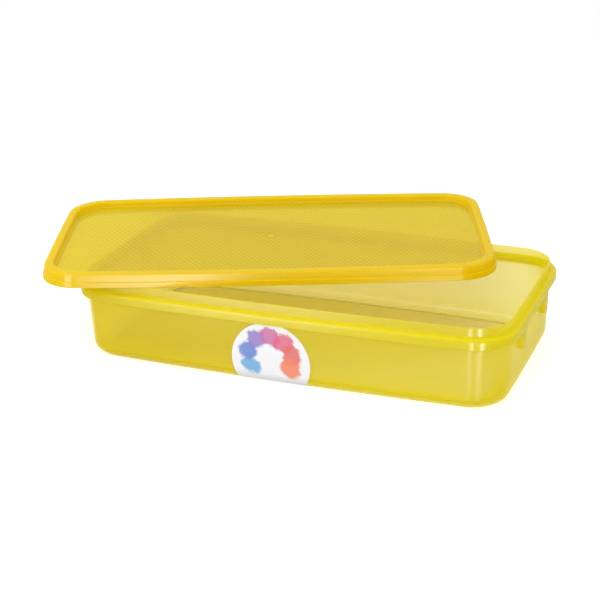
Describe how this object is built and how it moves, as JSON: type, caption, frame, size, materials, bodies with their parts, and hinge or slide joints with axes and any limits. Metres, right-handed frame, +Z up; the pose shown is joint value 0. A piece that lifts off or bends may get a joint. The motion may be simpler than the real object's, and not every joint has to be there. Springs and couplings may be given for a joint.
{
  "type": "wet palette",
  "caption": "Shallow long plastic tray with a press-on recessed lid lying askew on it, and a damp sponge with a sheet of palette paper inside.",
  "frame": {"origin": "middle of the tray's underside, on the surface that the tray stands on", "axes": "+X along the tray, -Y towards the labelled front wall, +Z up"},
  "size_m": [0.3831, 0.2568, 0.0708],
  "materials": {
    "tray_plastic": "translucent yellow polypropylene, satin",
    "lid_plastic": "translucent golden yellow polypropylene, satin, dimpled panel",
    "sponge_foam": "damp fine-pored viscose sponge",
    "paper": "damp semi-transparent palette paper",
    "sticker": "coated white sticker with printed colour dabs"
  },
  "bodies": {
    "tray": {"tray": "tray_plastic", "label": "sticker"},
    "lid": {"lid": "lid_plastic"},
    "sponge": {"sponge": "sponge_foam"},
    "palette_paper": {"palette_paper": "paper"}
  },
  "joints": [
    {"name": "lid_lift", "type": "slide", "parent": "tray", "child": "lid", "axis": [0, 0, 1], "range_m": [0, 0.12]},
    {"name": "sponge_lift", "type": "slide", "parent": "tray", "child": "sponge", "axis": [0, 0, 1], "range_m": [0, 0.03]},
    {"name": "paper_lift", "type": "slide", "parent": "sponge", "child": "palette_paper", "axis": [0, 0, 1], "range_m": [0, 0.024]}
  ]
}
